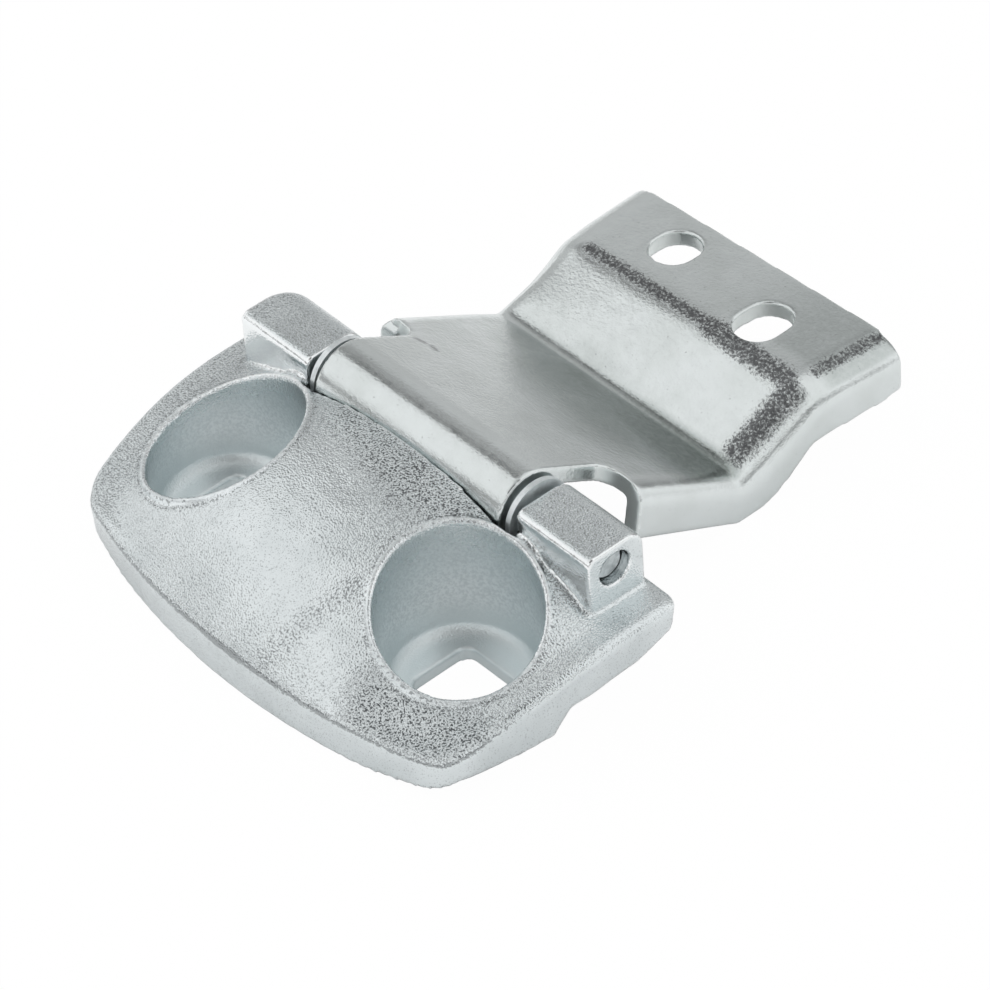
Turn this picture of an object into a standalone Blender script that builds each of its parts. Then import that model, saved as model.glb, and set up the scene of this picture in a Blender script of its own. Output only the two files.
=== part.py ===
"""Rear door hinge: a cast leaf and a pressed leaf that turn on one pin.

Lengths are in metres and angles in degrees. X runs along the pin, Y from the cast
leaf to the pressed leaf, and Z is up. Sizes of the leaves are measured from the pin
axis. The hinge lies on a flat surface with the pressed leaf drooping to the same floor.
"""
import math

import bmesh
import bpy
from mathutils import Matrix, Vector

# Pin, and the clearance that pressed-together pieces keep
PIN_RADIUS = 0.0037
PIN_RECESS = 0.0023
PIN_CHAMFER = 0.0004
SEAT_GAP = 0.0003

# Flanged bushes in the ends of the rolled barrel
BUSH_WALL = 0.0006
BUSH_SLEEVE = 0.014
BUSH_FLANGE = 0.0013
BUSH_FLANGE_RADIUS = 0.00805
BARREL_TO_FLANGE = 0.0012

# Knuckles of the cast leaf
KNUCKLE_WIDTH = 0.0217
KNUCKLE_GAP = 0.0013
KNUCKLE_FRONT = 0.0073
KNUCKLE_REAR = 0.0081
KNUCKLE_HEIGHT = 0.00605
KNUCKLE_FRONT_ROUND = 0.0018
KNUCKLE_REAR_ROUND = 0.0044
LEFT_REAR_CORNER = 0.0045
RIGHT_REAR_CORNER = 0.0010

# Plan outline of the cast leaf
CAST_HALF_WIDTH = 0.0630
CAST_REACH = 0.0600
FOOT_REAR = 0.0095
FOOT_CORNER = 0.0032
SIDE_STRAIGHT = 0.0105
SIDE_RADIUS = 0.160
FRONT_RADIUS = 0.183
FRONT_CORNER = 0.0115

# Domed top, its flatter border and the rounded edge
DOME_TOP = 0.0056
DOME_RADIUS_ACROSS = 0.1136
DOME_RADIUS_ALONG = 0.0652
DOME_PEAK = 0.0093
DOME_REAR_SLOPE = 1.2
BORDER_DROP = 0.0091
BORDER_RADIUS = 0.1164
BORDER_PEAK = 0.0035
FRONT_EDGE_DROP = 0.0186
VALLEY_BLEND = 0.0014
EDGE_ROUND = 0.0017

# Walls of the casting: the base, and the side wall's lower edge stepped towards the pin
CAST_DEPTH = 0.0293
CAST_WALL = 0.0040
WALL_DRAFT = 0.0004
CAST_SKIN = 0.0045
REAR_WALL = 0.0145
CORNER_FOOT_AT = 0.0560
SIDE_FOOT_AT = 0.0465
SIDE_DEPTH = 0.0247
STEP_FOOT_AT = 0.0250
STEP_TOP_AT = 0.0220
REAR_SIDE_DEPTH = 0.0198
FOOT_UNDERCUT_AT = 0.0018
FOOT_UNDERCUT_RISE = 0.0010
FOOT_DEPTH = 0.0153

# Pockets for the fixing bolts: cups that stand on the base, a raised rim, a square hole
POCKET_X = 0.0368
POCKET_Y = 0.0272
POCKET_RADIUS = 0.0175
POCKET_TAPER = 0.0013
POCKET_FLOOR = 0.0035
POCKET_FILLET = 0.0035
RIM_DROP = 0.0047
RIM_SLOPE_ACROSS = 0.345
RIM_SLOPE_ALONG = 0.283
RIM_WIDTH = 0.0013
RIM_ROUND = 0.0005
RIM_BASE = 0.0035
CUP_RADIUS = 0.0210
SQUARE_HOLE = 0.0160
SQUARE_HOLE_CORNER = 0.0026

# Trough that clears the barrel
TROUGH_EDGE = 0.00875
TROUGH_CLEARANCE = 0.0005

# Pressed leaf: sheet, barrel, neck and the bends seen from the side
SHEET = 0.0042
BARREL_SWEEP = 295.0
NECK_HALF_WIDTH = 0.0288
REST_TILT = 29.5
BEND_AT = 0.0508
RAMP_RISE = 25.1
FLANGE_DROP = 0.0073
FLANGE_FALL = 0.0009
PRESSED_REACH = 0.0939
BEND_ROUND = 0.0030
FLANGE_BEND_ROUND = 0.0075
FLANGE_TWIST = 0.05

# Pressed leaf: down-turned sides, their corner rounding and lower edge
SKIRT_HALF_WIDTH = 0.0395
SKIRT_FLARE = 0.0025
FLARE_FROM = 0.0569
CORNER_ROUND = 0.0052
RAMP_CORNER_WIDTH = 0.0086
RAMP_CORNER_HEIGHT = 0.0054
ELBOW_CORNER_HEIGHT = 0.0090
ELBOW_AT = 0.0585
ELBOW_SPREAD = 0.0100
SKIRT_FRONT_DEPTH = 0.0158
ELBOW_FLAT_FROM = 0.0475
ELBOW_FLAT_TO = 0.0550
ELBOW_CLEARANCE = 0.0001
SKIRT_RISE_TO = 0.0715
FLANGE_SKIRT_DEPTH = 0.0193

# Notches beside the neck
NOTCH_FRONT = 0.0212
NOTCH_CORNER = 0.0045
NOTCH_LEAN = 10.5
LEFT_NOTCH_FRONT = 0.0200
LEFT_NOTCH_REACH = 0.0348
LEFT_EAR_FRONT = 0.0176
LEFT_EAR_TOP = -0.0030
LEFT_EAR_ROUND = 0.0032

# Slots in the flange: centre across, centre from the pin, width, length
SLOT_WIDTH = 0.0110
LEFT_SLOT_X = -0.0174
LEFT_SLOT_Y = 0.0834
LEFT_SLOT_LENGTH = 0.0120
RIGHT_SLOT_X = 0.0151
RIGHT_SLOT_Y = 0.0784
RIGHT_SLOT_LENGTH = 0.0140

# Sizes that follow from the ones above
BORE_RADIUS = PIN_RADIUS + SEAT_GAP
BUSH_RADIUS = BORE_RADIUS + BUSH_WALL
BARREL_RADIUS = BUSH_RADIUS + SEAT_GAP + SHEET
FLANGE_INNER = NECK_HALF_WIDTH + BARREL_TO_FLANGE
FLANGE_OUTER = FLANGE_INNER + BUSH_FLANGE
KNUCKLE_INNER = FLANGE_OUTER + KNUCKLE_GAP
KNUCKLE_OUTER = KNUCKLE_INNER + KNUCKLE_WIDTH
TROUGH_RADIUS = BARREL_RADIUS + TROUGH_CLEARANCE
PIN_AXIS = Vector((0.0, (CAST_REACH - PRESSED_REACH) / 2, CAST_DEPTH))

# Number of facets on round shapes, and how far cutters run past what they cut
ROUND_FACETS = 48
CORNER_STEPS = 6
OVERRUN = 0.010


def clear_scene():
    for item in list(bpy.data.objects):
        bpy.data.objects.remove(item, do_unlink=True)


def new_collection(name):
    collection = bpy.data.collections.new(name)
    bpy.context.scene.collection.children.link(collection)
    return collection


def metal(name, colour, roughness):
    material = bpy.data.materials.new(name)
    material.use_nodes = True
    shader = material.node_tree.nodes["Principled BSDF"]
    shader.inputs["Base Color"].default_value = (*colour, 1.0)
    shader.inputs["Metallic"].default_value = 1.0
    shader.inputs["Roughness"].default_value = roughness
    return material


def add_object(name, mesh, collection):
    item = bpy.data.objects.new(name, mesh)
    item.location = PIN_AXIS
    collection.objects.link(item)
    return item


def add_cutter(name, mesh, collection):
    item = add_object(name, mesh, collection)
    item.hide_render = True
    item.display_type = "WIRE"
    return item


def smooth_shading(item, sharp_angle=35.0):
    item.data.shade_smooth()
    item.data.set_sharp_from_angle(angle=math.radians(sharp_angle))


def combine(item, operation, operand, solver="EXACT"):
    step = item.modifiers.new(operand.name, "BOOLEAN")
    step.operation = operation
    step.solver = solver
    step.object = operand


def spread(start, end, steps):
    """Evenly spaced values from start up to, but not including, end."""
    return [start + (end - start) * index / steps for index in range(steps)]


def polar(centre, radius, degrees):
    angle = math.radians(degrees)
    return Vector((centre[0] + radius * math.cos(angle), centre[1] + radius * math.sin(angle)))


def rounded(corners, closed=True, steps=CORNER_STEPS):
    """Outline through corners given as (x, y, radius), with an arc where the radius isn't 0."""
    points = []
    for index, (x, y, radius) in enumerate(corners):
        corner = Vector((x, y))
        at_end = not closed and index in (0, len(corners) - 1)
        if radius == 0.0 or at_end:
            points.append(corner)
            continue
        back = (Vector(corners[index - 1][:2]) - corner).normalized()
        ahead = (Vector(corners[(index + 1) % len(corners)][:2]) - corner).normalized()
        half_angle = back.angle(ahead) / 2
        centre = corner + (back + ahead).normalized() * radius / math.sin(half_angle)
        first = corner + back * radius / math.tan(half_angle) - centre
        last = corner + ahead * radius / math.tan(half_angle) - centre
        turn = math.atan2(first.x * last.y - first.y * last.x, first.dot(last))
        for step in range(steps + 1):
            points.append(centre + Matrix.Rotation(turn * step / steps, 2) @ first)
    return points


def loft(name, rings, closed_rings=True):
    """Solid skinned over rings of equal length, with a fan of faces on each end ring.

    A ring that isn't closed is half of a symmetric one, and a Mirror completes it.
    """
    shape = bmesh.new()
    rows = [[shape.verts.new(point) for point in ring] for ring in rings]
    count = len(rows[0])
    spans = count if closed_rings else count - 1
    for lower, upper in zip(rows, rows[1:]):
        for index in range(spans):
            after = (index + 1) % count
            shape.faces.new((lower[index], lower[after], upper[after], upper[index]))
    for row, flip in ((rows[0], True), (rows[-1], False)):
        if closed_rings:
            middle = sum((vert.co for vert in row), Vector()) / count
        else:
            middle = (row[0].co + row[-1].co) / 2
        hub = shape.verts.new(middle)
        for index in range(spans):
            pair = (row[index], row[(index + 1) % count])
            shape.faces.new((hub, *reversed(pair)) if flip else (hub, *pair))
    bmesh.ops.recalc_face_normals(shape, faces=shape.faces)
    mesh = bpy.data.meshes.new(name)
    shape.to_mesh(mesh)
    shape.free()
    return mesh


def prism(name, outline, thickness, turn=Matrix.Identity(4)):
    """Flat outline, as a filled 2D curve, extruded evenly to both sides and made a mesh."""
    curve = bpy.data.curves.new(name, "CURVE")
    curve.dimensions = "2D"
    curve.fill_mode = "BOTH"
    curve.extrude = thickness / 2
    line = curve.splines.new("POLY")
    line.points.add(len(outline) - 1)
    for point, place in zip(line.points, outline):
        point.co = (place[0], place[1], 0.0, 1.0)
    line.use_cyclic_u = True
    guide = bpy.data.objects.new(name + "_curve", curve)
    bpy.context.scene.collection.objects.link(guide)
    bpy.context.view_layer.update()
    evaluated = guide.evaluated_get(bpy.context.evaluated_depsgraph_get())
    mesh = bpy.data.meshes.new_from_object(evaluated)
    bpy.data.objects.remove(guide, do_unlink=True)
    shape = bmesh.new()
    shape.from_mesh(mesh)
    bmesh.ops.remove_doubles(shape, verts=shape.verts, dist=0.00001)
    bmesh.ops.transform(shape, matrix=turn, verts=shape.verts)
    bmesh.ops.recalc_face_normals(shape, faces=shape.faces)
    shape.to_mesh(mesh)
    shape.free()
    return mesh


def both_sides(item):
    """Repeat a piece on the left, as a second body of the same object."""
    copy = item.modifiers.new("Left side", "MIRROR")
    copy.use_axis = (True, False, False)
    copy.use_mirror_merge = False


# Outlines drawn in a plane across the pin: the curve's X becomes Y, and its Y becomes Z
ACROSS_PIN = Matrix(((0, 0, 1, 0), (1, 0, 0, 0), (0, 1, 0, 0), (0, 0, 0, 1)))


def along_pin(x):
    return Matrix.Translation((x, 0.0, 0.0)) @ ACROSS_PIN


# Cast leaf

def arc_drop(distance, radius):
    """How far an arc has fallen at this distance from its highest point."""
    return radius - math.sqrt(radius * radius - distance * distance)


def crown(x, y):
    """Height of the cast leaf's top: a dome that blends into a flatter border."""
    dome = DOME_TOP - arc_drop(x, DOME_RADIUS_ACROSS) - arc_drop(y + DOME_PEAK, DOME_RADIUS_ALONG)
    dome -= DOME_REAR_SLOPE * max(y + KNUCKLE_FRONT, 0.0)
    border = -BORDER_DROP - arc_drop(min(y + BORDER_PEAK, 0.0), BORDER_RADIUS)
    border = max(border, -FRONT_EDGE_DROP)
    return (dome + border + math.hypot(dome - border, VALLEY_BLEND)) / 2


def lower_edge(y):
    """Height of the outer wall's lower edge: it stands on the base only along the front."""
    stations = (
        (-CORNER_FOOT_AT, -CAST_DEPTH),
        (-SIDE_FOOT_AT, -SIDE_DEPTH),
        (-STEP_FOOT_AT, -SIDE_DEPTH),
        (-STEP_TOP_AT, -REAR_SIDE_DEPTH),
        (-FOOT_UNDERCUT_AT, -REAR_SIDE_DEPTH + FOOT_UNDERCUT_RISE),
        (FOOT_REAR, -FOOT_DEPTH),
    )
    if y <= stations[0][0]:
        return stations[0][1]
    for (start, low), (end, high) in zip(stations, stations[1:]):
        if y <= end:
            return low + (high - low) * (y - start) / (end - start)
    return stations[-1][1]


def corner_centre():
    """Centre of the front corner's arc, which touches the side arc and the front arc."""
    side = Vector((CAST_HALF_WIDTH - SIDE_RADIUS, -SIDE_STRAIGHT))
    front = Vector((0.0, FRONT_RADIUS - CAST_REACH))
    side_reach = SIDE_RADIUS - FRONT_CORNER
    front_reach = FRONT_RADIUS - FRONT_CORNER
    apart = front - side
    along = (apart.length_squared + side_reach ** 2 - front_reach ** 2) / (2 * apart.length)
    across = math.sqrt(side_reach ** 2 - along ** 2)
    direction = apart.normalized()
    return side + direction * along + Vector((direction.y, -direction.x)) * across


def half_outline(inset, rear):
    """Right half of the leaf's plan outline, from the middle of its rear edge to the front."""
    side = Vector((CAST_HALF_WIDTH - SIDE_RADIUS, -SIDE_STRAIGHT))
    front = Vector((0.0, FRONT_RADIUS - CAST_REACH))
    corner = corner_centre()
    edge = CAST_HALF_WIDTH - inset
    rear_corner = Vector((edge - FOOT_CORNER, rear - FOOT_CORNER))
    side_end = math.degrees(math.atan2(corner.y - side.y, corner.x - side.x))
    front_start = math.degrees(math.atan2(corner.y - front.y, corner.x - front.x))
    side_start = math.degrees(math.asin(min(0.0, rear_corner.y - side.y) / (SIDE_RADIUS - inset)))
    points = [Vector((x, rear)) for x in spread(0.0, rear_corner.x, 9)]
    points += [polar(rear_corner, FOOT_CORNER, angle) for angle in spread(90.0, 0.0, 5)]
    if rear_corner.y > side.y:
        points += [Vector((edge, y)) for y in spread(rear_corner.y, side.y, 4)]
    points += [polar(side, SIDE_RADIUS - inset, angle) for angle in spread(side_start, side_end, 7)]
    turn = spread(side_end, front_start, 8)
    points += [polar(corner, FRONT_CORNER - inset, angle) for angle in turn]
    points += [polar(front, FRONT_RADIUS - inset, angle) for angle in spread(front_start, -90.0, 9)]
    points.append(Vector((0.0, front.y - FRONT_RADIUS + inset)))
    return points


def toward_middle(outline, scale):
    middle = Vector((0.0, (outline[0].y + outline[-1].y) / 2))
    return [middle + (point - middle) * scale for point in outline]


def lift(outline, height):
    return [(point.x, point.y, height(point.x, point.y)) for point in outline]


def cast_shell(name, collection):
    """Outer form of the casting: domed top, rounded edge, wall and stepped lower edge."""
    inside = half_outline(CAST_WALL, FOOT_REAR - CAST_WALL)
    foot = half_outline(WALL_DRAFT, FOOT_REAR - WALL_DRAFT)
    flat = [toward_middle(inside, scale) for scale in (0.2, 0.5, 0.8)] + [inside, foot]
    rings = [lift(ring, lambda x, y: lower_edge(y)) for ring in flat]
    for angle in (0.0, 30.0, 60.0, 90.0):
        inset = EDGE_ROUND * (1 - math.cos(math.radians(angle)))
        sunk = EDGE_ROUND * (1 - math.sin(math.radians(angle)))
        ring = half_outline(inset, FOOT_REAR - inset)
        rings.append(lift(ring, lambda x, y, sunk=sunk: crown(x, y) - sunk))
    top = half_outline(EDGE_ROUND, FOOT_REAR - EDGE_ROUND)
    for scale in (0.97, 0.93, 0.88, 0.81, 0.72, 0.62, 0.5, 0.38, 0.25, 0.12):
        rings.append(lift(toward_middle(top, scale), crown))
    item = add_object(name, loft(name, rings, closed_rings=False), collection)
    mirror_half(item)
    return item


def mirror_half(item):
    mirror = item.modifiers.new("Left half", "MIRROR")
    mirror.use_axis = (True, False, False)
    mirror.use_clip = True
    mirror.merge_threshold = 0.00005


def cavity_cutter(cutters):
    """Hollow under the dome, inside the outer wall and the rear wall."""
    outline = half_outline(CAST_WALL, -REAR_WALL)
    floor = [(point.x, point.y, -CAST_DEPTH - OVERRUN) for point in outline]
    rings = [floor]
    for scale in (1.0, 0.92, 0.8, 0.65, 0.5, 0.35, 0.18):
        rings.append(lift(toward_middle(outline, scale), lambda x, y: crown(x, y) - CAST_SKIN))
    item = add_cutter("cavity", loft("cavity", rings, closed_rings=False), cutters)
    mirror_half(item)
    return item


def rim_height(x, y):
    """Tilted plane that the pocket's rim lies in."""
    across = RIM_SLOPE_ACROSS * (x - POCKET_X)
    return -RIM_DROP - across + RIM_SLOPE_ALONG * (y + POCKET_Y)


def circle(radius, height):
    """Ring round the pocket's axis, with its height from a function of the place."""
    points = [polar((POCKET_X, -POCKET_Y), radius, angle) for angle in spread(0.0, 360.0, ROUND_FACETS)]
    return lift(points, height)


def cup(cutters):
    """Outside of a pocket: a round cup on the base, and the raised rim on its top."""
    rim_radius = POCKET_RADIUS + RIM_WIDTH
    rings = [
        circle(CUP_RADIUS, lambda x, y: -CAST_DEPTH),
        circle(CUP_RADIUS, lambda x, y: rim_height(x, y) - RIM_BASE),
        circle(rim_radius, lambda x, y: rim_height(x, y) - RIM_BASE),
        circle(rim_radius, lambda x, y: rim_height(x, y) - RIM_ROUND),
        circle(rim_radius - RIM_ROUND * 0.3, lambda x, y: rim_height(x, y) - RIM_ROUND * 0.3),
        circle(rim_radius - RIM_ROUND, rim_height),
    ]
    item = add_cutter("cups", loft("cups", rings), cutters)
    both_sides(item)
    return item


def pocket_cutter(cutters):
    """Inside of a pocket: slightly tapered, with a rounded rim and a filleted floor."""
    floor = -CAST_DEPTH + POCKET_FLOOR
    low_radius = POCKET_RADIUS - POCKET_TAPER
    rings = []
    for angle in (-90.0, -60.0, -30.0, 0.0):
        out = POCKET_FILLET * math.cos(math.radians(angle))
        up = POCKET_FILLET * math.sin(math.radians(angle))
        radius = low_radius - POCKET_FILLET + out
        rings.append(circle(radius, lambda x, y, up=up: floor + POCKET_FILLET + up))
    for out, up in ((0.0, -1.0), (0.3, -0.3), (1.7, 0.3)):
        radius = POCKET_RADIUS + RIM_ROUND * out
        rings.append(circle(radius, lambda x, y, up=up: rim_height(x, y) + RIM_ROUND * up))
    rings.append(circle(radius, lambda x, y: rim_height(x, y) + OVERRUN))
    item = add_cutter("pockets", loft("pockets", rings), cutters)
    both_sides(item)
    return item


def square_hole_cutter(cutters):
    half = SQUARE_HOLE / 2
    corners = [(x * half, y * half, SQUARE_HOLE_CORNER) for x, y in ((-1, -1), (1, -1), (1, 1), (-1, 1))]
    place = Matrix.Translation((POCKET_X, -POCKET_Y, -CAST_DEPTH + POCKET_FLOOR / 2))
    mesh = prism("square_holes", rounded(corners), 4 * POCKET_FLOOR, place)
    item = add_cutter("square_holes", mesh, cutters)
    both_sides(item)
    return item


def knuckle(name, side, corner, cutters):
    """Block that holds the pin, rounded over the top, with its rear outer corner rounded in plan."""
    buried = -BORDER_DROP - CAST_SKIN / 2
    centre = (KNUCKLE_OUTER - corner, KNUCKLE_REAR - corner)
    stations = [(KNUCKLE_INNER - KNUCKLE_GAP, KNUCKLE_REAR)]
    stations += [tuple(polar(centre, corner, angle)) for angle in spread(90.0, 0.0, CORNER_STEPS) + [0.0]]
    rings = []
    for x, rear in stations:
        outline = rounded([
            (-KNUCKLE_FRONT, buried, 0.0),
            (rear, buried, 0.0),
            (rear, KNUCKLE_HEIGHT, KNUCKLE_REAR_ROUND),
            (-KNUCKLE_FRONT, KNUCKLE_HEIGHT, KNUCKLE_FRONT_ROUND),
        ])
        rings.append([(side * x, point.x, point.y) for point in outline])
    return add_cutter(name, loft(name, rings), cutters)


def trough_cutter(cutters):
    """Space between the knuckles: a trough round the barrel, open to the rear and below."""
    rise = math.sqrt(TROUGH_RADIUS ** 2 - TROUGH_EDGE ** 2)
    top = KNUCKLE_HEIGHT + OVERRUN
    back = FOOT_REAR + OVERRUN
    outline = [Vector((-TROUGH_EDGE, top))]
    start = 180.0 - math.degrees(math.asin(rise / TROUGH_RADIUS))
    outline += [polar((0.0, 0.0), TROUGH_RADIUS, angle) for angle in spread(start, 180.0, 5)]
    outline.append(Vector((-TROUGH_RADIUS, 0.0)))
    outline.append(Vector((-TROUGH_RADIUS, -CAST_DEPTH - OVERRUN)))
    outline.append(Vector((back, -CAST_DEPTH - OVERRUN)))
    outline.append(Vector((back, top)))
    mesh = prism("trough", outline, 2 * KNUCKLE_INNER, ACROSS_PIN)
    return add_cutter("trough", mesh, cutters)


def bore_cutter(cutters):
    length = 2 * (KNUCKLE_OUTER + OVERRUN)
    shape = bmesh.new()
    bmesh.ops.create_cone(
        shape, cap_ends=True, segments=ROUND_FACETS, radius1=BORE_RADIUS, radius2=BORE_RADIUS,
        depth=length, matrix=Matrix.Rotation(math.radians(90.0), 4, "Y"))
    mesh = bpy.data.meshes.new("bore")
    shape.to_mesh(mesh)
    shape.free()
    return add_cutter("bore", mesh, cutters)


def build_cast_leaf(parts, cutters):
    leaf = cast_shell("cast_leaf", parts)
    combine(leaf, "DIFFERENCE", cavity_cutter(cutters))
    combine(leaf, "UNION", cup(cutters))
    combine(leaf, "UNION", knuckle("left_knuckle", -1, LEFT_REAR_CORNER, cutters))
    combine(leaf, "UNION", knuckle("right_knuckle", 1, RIGHT_REAR_CORNER, cutters))
    # The exact solver leaves gaps where these cuts cross the joined cups and knuckles.
    for cutter in (trough_cutter, pocket_cutter, square_hole_cutter, bore_cutter):
        combine(leaf, "DIFFERENCE", cutter(cutters), solver="MANIFOLD")
    leaf.data.materials.append(metal("plated_casting", (0.55, 0.57, 0.57), 0.42))
    smooth_shading(leaf)
    return leaf


# Pressed leaf

def rest_direction():
    tilt = math.radians(REST_TILT)
    return Vector((math.cos(tilt), -math.sin(tilt))), Vector((math.sin(tilt), math.cos(tilt)))


def side_path():
    """Middle line of the leaf's upper face, as (y, z) from the barrel to the far edge."""
    along, normal = rest_direction()
    tangent = normal * BARREL_RADIUS
    bend = tangent + along * BEND_AT
    ramp = Vector((math.cos(math.radians(RAMP_RISE)), math.sin(math.radians(RAMP_RISE))))
    crest = bend + ramp * (-FLANGE_DROP - bend.y) / ramp.y
    corners = [
        (*tangent, 0.0),
        (*bend, BEND_ROUND),
        (*crest, FLANGE_BEND_ROUND),
        (PRESSED_REACH, -FLANGE_DROP - FLANGE_FALL, 0.0),
    ]
    coarse = rounded(corners, closed=False)
    points = []
    for start, end in zip(coarse, coarse[1:]):
        steps = max(1, round((end - start).length / 0.005))
        points += [start.lerp(end, index / steps) for index in range(steps)]
    points.append(coarse[-1])
    return points


def ease(value, start, end):
    """0 before start, 1 after end, with a smooth rise between."""
    share = min(1.0, max(0.0, (value - start) / (end - start)))
    return share * share * (3 - 2 * share)


def half_width(y):
    return SKIRT_HALF_WIDTH + SKIRT_FLARE * max(0.0, y - FLARE_FROM) / (PRESSED_REACH - FLARE_FROM)


def corner_round(y):
    """Width and height of the rounding above a down-turned side: wide on the ramp, tall at the elbow."""
    on_ramp = ease(y, ELBOW_AT - 1.5 * ELBOW_SPREAD, ELBOW_AT + 0.5 * ELBOW_SPREAD)
    near = ease(y, ELBOW_AT - 2 * ELBOW_SPREAD, ELBOW_AT) - ease(y, ELBOW_AT, ELBOW_AT + 2 * ELBOW_SPREAD)
    width = CORNER_ROUND + (RAMP_CORNER_WIDTH - CORNER_ROUND) * on_ramp
    height = CORNER_ROUND + (RAMP_CORNER_HEIGHT - CORNER_ROUND) * on_ramp
    return width, height + (ELBOW_CORNER_HEIGHT - RAMP_CORNER_HEIGHT) * near


def skirt_edge(y):
    """Height of the down-turned side's lower edge: it touches the floor at the elbow."""
    floor = -CAST_DEPTH + ELBOW_CLEARANCE
    share = min(1.0, (y - NOTCH_FRONT) / (ELBOW_FLAT_FROM - NOTCH_FRONT))
    front = -SKIRT_FRONT_DEPTH + (floor + SKIRT_FRONT_DEPTH) * share
    return front + (-FLANGE_SKIRT_DEPTH - floor) * ease(y, ELBOW_FLAT_TO, SKIRT_RISE_TO)


def pressed_section(y, z):
    """Points across the leaf at one station, from the left lower edge to the right one."""
    outer = half_width(y)
    width, height = corner_round(y)
    lean = FLANGE_TWIST * ease(y, BEND_AT, BEND_AT + 2 * ELBOW_SPREAD)
    points = []
    for side in (-1, 1):
        top = z + lean * side * (outer - width)
        half = []
        for step in range(CORNER_STEPS + 1):
            turn = polar((0.0, 0.0), 1.0, 90.0 * step / CORNER_STEPS)
            across = side * (outer - width + width * turn.y)
            half.append(Vector((across, y, top - height + height * turn.x)))
        half.append(Vector((side * outer, y, skirt_edge(y))))
        points += reversed(half) if side < 0 else half
    return points


def pressed_sheet(name, collection):
    """Upper face of the pressed leaf and the outside of its rolled barrel, given a thickness."""
    shape = bmesh.new()
    rows = [[shape.verts.new(point) for point in pressed_section(y, z)] for y, z in side_path()]
    for lower, upper in zip(rows, rows[1:]):
        for index in range(len(lower) - 1):
            shape.faces.new((lower[index], lower[index + 1], upper[index + 1], upper[index]))
    left, right = rows[0][CORNER_STEPS + 1], rows[0][CORNER_STEPS + 2]
    last = (left, right)
    steps = round(BARREL_SWEEP / 360.0 * ROUND_FACETS)
    start = 90.0 - REST_TILT
    for index in range(1, steps + 1):
        y, z = polar((0.0, 0.0), BARREL_RADIUS, start + BARREL_SWEEP * index / steps)
        pair = (shape.verts.new((left.co.x, y, z)), shape.verts.new((right.co.x, y, z)))
        shape.faces.new((last[1], last[0], pair[0], pair[1]))
        last = pair
    mesh = bpy.data.meshes.new(name)
    shape.to_mesh(mesh)
    shape.free()
    item = add_object(name, mesh, collection)
    shell = item.modifiers.new("Sheet", "SOLIDIFY")
    shell.thickness = SHEET
    shell.offset = -1.0
    shell.use_even_offset = True
    return item


def notch_cutter(name, side, front, reach, cutters):
    """Open corner beside the neck, which clears a knuckle. It is cut from the neck out to its reach."""
    near = -BARREL_RADIUS - OVERRUN
    outline = rounded([
        (side * NECK_HALF_WIDTH, near, 0.0),
        (side * reach, near, 0.0),
        (side * reach, front, 0.0),
        (side * NECK_HALF_WIDTH, front, NOTCH_CORNER),
    ])
    pivot = Matrix.Translation((0.0, front, 0.0))
    lean = pivot @ Matrix.Rotation(math.radians(-NOTCH_LEAN), 4, "X") @ pivot.inverted()
    return add_cutter(name, prism(name, outline, 2 * CAST_DEPTH + OVERRUN, lean), cutters)


def ear_cutter(cutters):
    """Trims the left side's front end, which reaches further forward than the plate above it."""
    near = -BARREL_RADIUS - OVERRUN
    high = BARREL_RADIUS + OVERRUN
    outline = rounded([
        (near, high, 0.0),
        (near, -CAST_DEPTH - OVERRUN, 0.0),
        (LEFT_EAR_FRONT, -CAST_DEPTH - OVERRUN, 0.0),
        (LEFT_EAR_FRONT, LEFT_EAR_TOP, LEFT_EAR_ROUND),
        (LEFT_NOTCH_FRONT, LEFT_EAR_TOP, 0.0),
        (LEFT_NOTCH_FRONT, high, 0.0),
    ])
    inner = LEFT_NOTCH_REACH - SEAT_GAP
    outer = SKIRT_HALF_WIDTH + OVERRUN
    place = along_pin(-(outer + inner) / 2)
    return add_cutter("left_ear", prism("left_ear", outline, outer - inner, place), cutters)


def slot_cutter(name, x, y, length, cutters):
    half_x = SLOT_WIDTH / 2
    half_y = length / 2
    corners = [(i * half_x, j * half_y, half_x * 0.98) for i, j in ((-1, -1), (1, -1), (1, 1), (-1, 1))]
    place = Matrix.Translation((x, y, -FLANGE_DROP))
    return add_cutter(name, prism(name, rounded(corners), 4 * SHEET, place), cutters)


def build_pressed_leaf(parts, cutters):
    leaf = pressed_sheet("pressed_leaf", parts)
    beyond = SKIRT_HALF_WIDTH + OVERRUN
    right_notch = notch_cutter("right_notch", 1, NOTCH_FRONT, beyond, cutters)
    left_notch = notch_cutter("left_notch", -1, LEFT_NOTCH_FRONT, LEFT_NOTCH_REACH, cutters)
    # The exact solver empties the sheet where a notch meets the rolled barrel.
    for cutter in (right_notch, left_notch, ear_cutter(cutters)):
        combine(leaf, "DIFFERENCE", cutter, solver="MANIFOLD")
    slots = (
        ("left_slot", LEFT_SLOT_X, LEFT_SLOT_Y, LEFT_SLOT_LENGTH),
        ("right_slot", RIGHT_SLOT_X, RIGHT_SLOT_Y, RIGHT_SLOT_LENGTH),
    )
    for name, x, y, length in slots:
        combine(leaf, "DIFFERENCE", slot_cutter(name, x, y, length, cutters))
    leaf.data.materials.append(metal("plated_sheet", (0.60, 0.62, 0.61), 0.30))
    smooth_shading(leaf)
    return leaf


# Pin and bushes

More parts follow.
